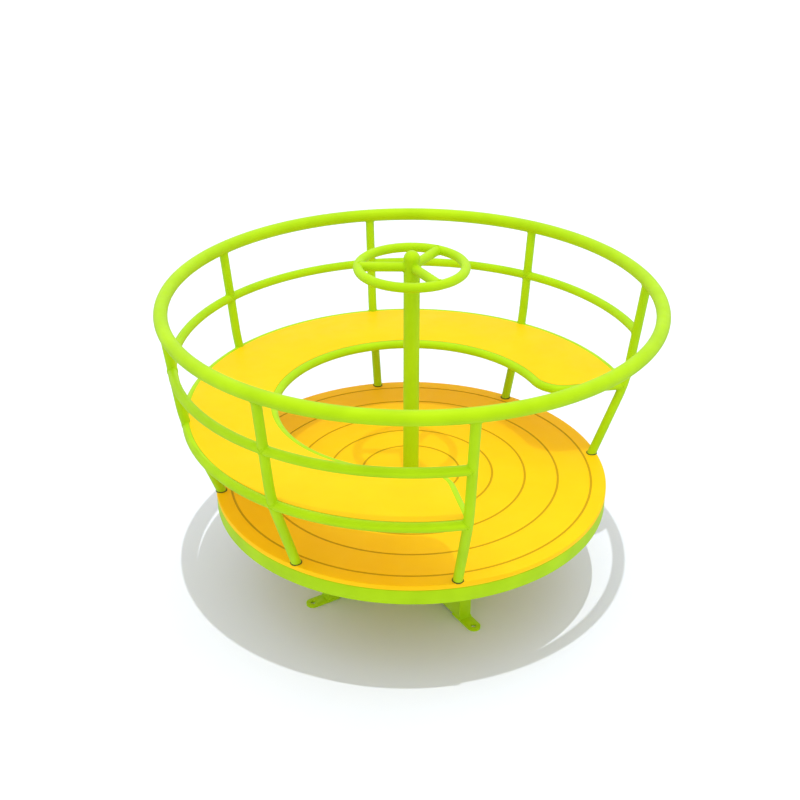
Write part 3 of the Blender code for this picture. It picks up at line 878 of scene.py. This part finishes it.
def make_base(green):
    """Pedestal, thrust collar, legs and feet."""
    radius = PEDESTAL_HIGH.x
    top = PEDESTAL_HIGH.z
    edge = PEDESTAL_EDGE
    pedestal = [(0.0, PEDESTAL_LOW.z), (radius, PEDESTAL_LOW.z)]
    pedestal += arc_points((radius - edge, top - edge), edge, 0.0, math.pi / 2, EDGE_STEPS)
    pedestal += [(0.0, top)]
    finish("pedestal_tube", lathe(pedestal, False), green, FIXED, ["pedestal"])
    collar = box_ring(radius + COLLAR_FIT, COLLAR_HIGH.x, COLLAR_LOW.z, COLLAR_HIGH.z, PLATE_EDGE)
    finish("turned_collar", collar, green, FIXED, ["thrust_collar"])
    half = LEG_WIDTH / 2
    inside = radius - LEG_TUCK
    root = math.asin(half / inside)
    leg_outline = [(LEG_END_RADIUS, -half), (LEG_END_RADIUS, half)]
    leg_outline += arc_points((0.0, 0.0), inside, root, -root, LEG_ROOT_STEPS)
    foot_outline = [(FOOT_INNER_RADIUS, -half)]
    foot_outline += arc_points((FOOT_TIP_CENTRE, 0.0), half, -math.pi / 2, math.pi / 2, FOOT_TIP_STEPS)
    foot_outline += [(FOOT_INNER_RADIUS, half)]
    bolt_hole = ((FOOT_TIP_CENTRE, 0.0), BOLT_HOLE_RADIUS)
    for i in range(LEG_COUNT):
        turn = Matrix.Rotation(FIRST_LEG_ANGLE + i * 2 * math.pi / LEG_COUNT, 4, "Z")
        leg = prism(leg_outline, LEG_LOW.z, LEG_HIGH.z, LEG_EDGE)
        leg.transform(turn)
        finish(f"box_leg_{i + 1}", leg, green, FIXED, [f"leg_{i + 1}"])
        foot = prism(foot_outline, 0.0, FOOT_TOP, FOOT_EDGE, [bolt_hole])
        foot.transform(turn)
        finish(f"foot_plate_{i + 1}", foot, green, FIXED, [f"foot_{i + 1}"])


def make_column(green):
    """Centre column with its domed cap, and the hand wheel."""
    dome_base = COLUMN_HIGH.z - COLUMN_RADIUS
    column = [(0.0, COLUMN_LOW.z), (COLUMN_RADIUS, COLUMN_LOW.z)]
    column += arc_points((0.0, dome_base), COLUMN_RADIUS, 0.0, math.pi / 2, DOME_STEPS)[:-1]
    column += [(0.0, COLUMN_HIGH.z)]
    finish("domed_column", lathe(column, False), green, FIXED, ["column"])
    wheel = ring_tube(WHEEL_RADIUS, WHEEL_HEIGHT, TUBE_RADIUS)
    finish("hand_wheel", wheel, green, FIXED, ["wheel_ring"])
    for i, angle in enumerate(SPOKE_ANGLES):
        path = [polar(COLUMN_RADIUS / 2, angle, WHEEL_HEIGHT), polar(WHEEL_RADIUS, angle, WHEEL_HEIGHT)]
        bar = sweep(path, TUBE_RADIUS)
        finish(f"wheel_bar_{i + 1}", bar, green, FIXED, [f"wheel_spoke_{i + 1}"])


def bowl_weld_lines():
    """Where the posts meet the top rail, and the rails meet the posts."""
    top_ring = clear_of_ring(TOP_RAIL_RADIUS, TOP_RAIL_HEIGHT, TOP_RAIL_TUBE_RADIUS)
    (r0, z0), (r1, z1) = post_line()[-2:]
    lines = []
    for i in range(POST_COUNT):
        angle = FIRST_POST_ANGLE + i * POST_PITCH
        upward = (polar(r1, angle, z1) - polar(r0, angle, z0)).normalized()
        reach = TOP_RAIL_TUBE_RADIUS * TOP_JOINT_REACH
        origin = polar(r1, angle, z1 + DECK_TOP) - upward * reach
        lines.append((seam(origin, upward, TUBE_RADIUS, top_ring, reach), True))
    reach = TUBE_RADIUS * POST_JOINT_REACH
    for height in (MID_RAIL_HEIGHT, BENCH_RAIL_HEIGHT):
        for i in range(POST_COUNT - 1):
            for post, sense in ((i, -1), (i + 1, 1)):
                angle = FIRST_POST_ANGLE + post * POST_PITCH
                travel = Vector((-math.sin(angle), math.cos(angle), 0.0)) * sense
                origin = polar(post_radius(height), angle, height) - travel * reach
                lines.append((seam(origin, travel, TUBE_RADIUS, clear_of_post(angle), reach), True))
    for angle in (FIRST_POST_ANGLE, LAST_POST_ANGLE):
        outward = polar(1.0, angle)
        origin = polar(post_radius(BENCH_RAIL_HEIGHT), angle, BENCH_RAIL_HEIGHT) - outward * reach
        lines.append((seam(origin, outward, TUBE_RADIUS, clear_of_post(angle), reach), True))
    return lines


def foot_lines():
    """Where the posts enter the deck."""
    (r0, z0), (r1, z1) = post_line()[:2]
    lines = []
    for i in range(POST_COUNT):
        angle = FIRST_POST_ANGLE + i * POST_PITCH
        downward = (polar(r0, angle, z0) - polar(r1, angle, z1)).normalized()
        reach = TUBE_RADIUS * POST_JOINT_REACH
        origin = polar(POST_FOOT_RADIUS, angle, DECK_TOP) - downward * reach
        lines.append((seam(origin, downward, TUBE_RADIUS, lambda p: p.z - DECK_TOP, reach * 2), True))
    return lines


def wheel_weld_lines():
    """Where the wheel's spokes meet the column and the ring."""
    ring = clear_of_ring(WHEEL_RADIUS, WHEEL_HEIGHT, TUBE_RADIUS)
    lines = []
    for angle in SPOKE_ANGLES:
        outward = polar(1.0, angle)
        reach = COLUMN_RADIUS * WHEEL_JOINT_REACH
        start = polar(reach, angle, WHEEL_HEIGHT)
        lines.append((seam(start, -outward, TUBE_RADIUS, clear_of_column, reach), True))
        reach = TUBE_RADIUS * WHEEL_JOINT_REACH
        start = polar(WHEEL_RADIUS - reach, angle, WHEEL_HEIGHT)
        lines.append((seam(start, outward, TUBE_RADIUS, ring, reach), True))
    return lines


def platform_weld_lines():
    """Under the platform and the bench: arms to rim, flange to sleeve, bars to front rail."""
    lines = []
    inner = RIM_HIGH.x - RIM_WIDTH
    tip = math.sqrt(inner ** 2 - ARM_HALF_WIDTH ** 2)
    half = ARM_HALF_WIDTH
    low = SPIDER_LOW.z
    high = SPIDER_HIGH.z - ARM_EDGE
    for i in range(ARM_COUNT):
        turn = Matrix.Rotation(FIRST_POST_ANGLE + i * 2 * math.pi / ARM_COUNT, 3, "Z")
        corners = [(tip, -half, high), (tip, -half, low), (tip, half, low), (tip, half, high)]
        lines.append(([turn @ Vector(corner) for corner in corners], False))
    ring = arc_points((0.0, 0.0), SLEEVE_RADIUS, 0.0, 2 * math.pi, WELD_RING_STEPS)[:-1]
    lines.append(([Vector((x, y, SLEEVE_HIGH.z - FLANGE_THICKNESS)) for x, y in ring], True))
    drop = BENCH_RAIL_HEIGHT - BEARER_LOW.z
    rail_side = FRONT_RAIL_RADIUS + math.sqrt(TUBE_RADIUS ** 2 - drop ** 2)
    half = BEARER_WIDTH / 2
    for i in range(1, POST_COUNT - 1):
        turn = Matrix.Rotation(FIRST_POST_ANGLE + i * POST_PITCH, 3, "Z")
        ends = [(rail_side, -half, BEARER_LOW.z), (rail_side, half, BEARER_LOW.z)]
        lines.append(([turn @ Vector(end) for end in ends], False))
    return lines


def base_weld_lines():
    """Legs to pedestal, legs to feet, collar to pedestal."""
    radius = PEDESTAL_HIGH.x
    half = LEG_WIDTH / 2
    root = math.asin(half / radius)
    lines = []
    for i in range(LEG_COUNT):
        turn = Matrix.Rotation(FIRST_LEG_ANGLE + i * 2 * math.pi / LEG_COUNT, 3, "Z")
        across = arc_points((0.0, 0.0), radius, -root, root, LEG_ROOT_STEPS)
        loop = [Vector((x, y, LEG_HIGH.z)) for x, y in across]
        loop += [Vector((x, y, LEG_LOW.z + LEG_EDGE)) for x, y in reversed(across)]
        lines.append(([turn @ point for point in loop], True))
        corners = [(FOOT_INNER_RADIUS, -half), (LEG_END_RADIUS, -half), (LEG_END_RADIUS, half),
                   (FOOT_INNER_RADIUS, half)]
        lines.append(([turn @ Vector((x, y, FOOT_TOP)) for x, y in corners], False))
    ring = arc_points((0.0, 0.0), radius, 0.0, 2 * math.pi, WELD_RING_STEPS)[:-1]
    lines.append(([Vector((x, y, COLLAR_LOW.z)) for x, y in ring], True))
    return lines


def make_welds(green, contact_shade, bead_tree):
    """Every weld, and the dark rings of painted contact shade round the posts' feet."""
    beads = (("bowl_welds", bowl_weld_lines(), TUBE_BEAD, RIPPLE_DEPTH, green, TURNING, GREEN_SLOT),
             ("wheel_welds", wheel_weld_lines(), TUBE_BEAD, RIPPLE_DEPTH, green, FIXED, GREEN_SLOT),
             ("platform_welds", platform_weld_lines(), PLATE_BEAD, RIPPLE_DEPTH, green, TURNING, GREEN_SLOT),
             ("base_welds", base_weld_lines(), PLATE_BEAD, RIPPLE_DEPTH, green, FIXED, GREEN_SLOT),
             # The foot rings are painted contact shade: dark beads where each post meets the deck
             ("foot_contact_shade_rings", foot_lines(), CONTACT_SHADE_BEAD, 0.0, contact_shade, TURNING, None))
    for name, lines, radius, ripple, mat, body, slot in beads:
        values = {"Bead Radius": radius, "Ripple Pitch": RIPPLE_PITCH, "Ripple Depth": ripple,
                  "Finish": mat}
        finish(name, grow(name, bead_tree, values, lines_mesh(lines)), mat, body)


def points_mesh(points):
    """Loose points for copies to stand on."""
    mesh = bpy.data.meshes.new("points")
    mesh.from_pydata(points, [], [])
    return mesh


def make_fasteners(zinc, fastener_tree):
    """Nuts under the hub flange, under the arms and under the bench."""
    hub, arms, bench = [], [], []
    for i in range(ARM_COUNT):
        angle = FIRST_POST_ANGLE + i * 2 * math.pi / ARM_COUNT
        hub.append(polar(HUB_BOLT_CIRCLE, angle + math.pi / ARM_COUNT, SLEEVE_HIGH.z - FLANGE_THICKNESS))
        arms += [polar(radius, angle, SPIDER_LOW.z) for radius in ARM_BOLT_RADII]
    for i in range(1, POST_COUNT - 1):
        angle = FIRST_POST_ANGLE + i * POST_PITCH
        bench += [polar(radius, angle, BEARER_LOW.z) for radius in SEAT_BOLT_RADII]
    sets = (("hub_nuts", hub, HUB_THREAD),
            ("deck_nuts", arms, ARM_THREAD),
            ("seat_nuts", bench, SEAT_THREAD))
    for name, points, thread in sets:
        values = {size: thread * share for size, share in NUT_PROPORTIONS.items()}
        values["Finish"] = zinc
        mesh = grow(name, fastener_tree, values, points_mesh(points))
        finish(name, mesh, zinc, TURNING)


def make_lamp(name, strength):
    """Distant light from the photograph's light direction."""
    lamp = bpy.data.lights.new(name, "SUN")
    lamp.energy = strength
    lamp.angle = KEY_ANGLE
    obj = bpy.data.objects.new(name, lamp)
    obj.rotation_euler = Vector(KEY_DIRECTION).to_track_quat("-Z", "Y").to_euler()
    bpy.context.scene.collection.objects.link(obj)
    return obj


def make_stage():
    """White floor, soft light and the photograph's camera."""
    bm = bmesh.new()
    bmesh.ops.create_grid(bm, x_segments=1, y_segments=1, size=FLOOR_HALF_SIZE)
    floor = bpy.data.objects.new("floor", mesh_from(bm))
    bpy.context.scene.collection.objects.link(floor)
    floor.data.materials.append(studio_floor())
    # The photograph's tubes show no white floor in their lower edges: reflections see the darker
    # lower half of the sky there
    floor.visible_glossy = False
    world = bpy.data.worlds.new("studio")
    bpy.context.scene.world = world
    world.use_nodes = True
    tree = world.node_tree
    direction = add(tree, "ShaderNodeTexCoord").outputs["Generated"]
    height = add(tree, "ShaderNodeSeparateXYZ", vector=direction).outputs["Z"]
    sky = tree.nodes["Background"]
    sky.inputs["Color"].default_value = (1.0, 1.0, 1.0, 1.0)
    tree.links.new(broken_line(tree, height, SKY_STRENGTHS), sky.inputs["Strength"])
    make_lamp("key_light", KEY_STRENGTH)
    # The photograph's floor is burned out to white, so it gets a light of its own as well
    lit_floor = bpy.data.collections.new("lit_floor")
    lit_floor.objects.link(floor)
    make_lamp("floor_light", FLOOR_LIGHT_STRENGTH).light_linking.receiver_collection = lit_floor
    lens = bpy.data.cameras.new("camera")
    lens.sensor_width = SENSOR_WIDTH
    lens.lens = CAMERA_FOCAL_PIXELS * SENSOR_WIDTH / PHOTO_PIXELS
    camera = bpy.data.objects.new("camera", lens)
    level = math.cos(CAMERA_PITCH)
    ahead = Vector((math.sin(CAMERA_YAW) * level, math.cos(CAMERA_YAW) * level, -math.sin(CAMERA_PITCH)))
    camera.location = CAMERA_PLACE
    camera.rotation_euler = ahead.to_track_quat("-Z", "Y").to_euler()
    bpy.context.scene.collection.objects.link(camera)
    bpy.context.scene.camera = camera
    bpy.context.scene.view_settings.view_transform = "Standard"


def main():
    green = powder_coat()
    deck_yellow = plastic_board("deck_polyethylene_board", DECK_BODY, DECK_SHADE)
    seat_yellow = plastic_board("seat_polyethylene_board", SEAT_BODY, SEAT_SHADE)
    make_bowl(green, rolled_tube_tree())
    make_bench(green, seat_yellow)
    make_deck(green, deck_yellow)
    make_base(green)
    make_column(green)
    make_welds(green, contact_shade_ring(), weld_bead_tree())
    make_fasteners(zinc_plate(), nut_tree())
    make_stage()


main()
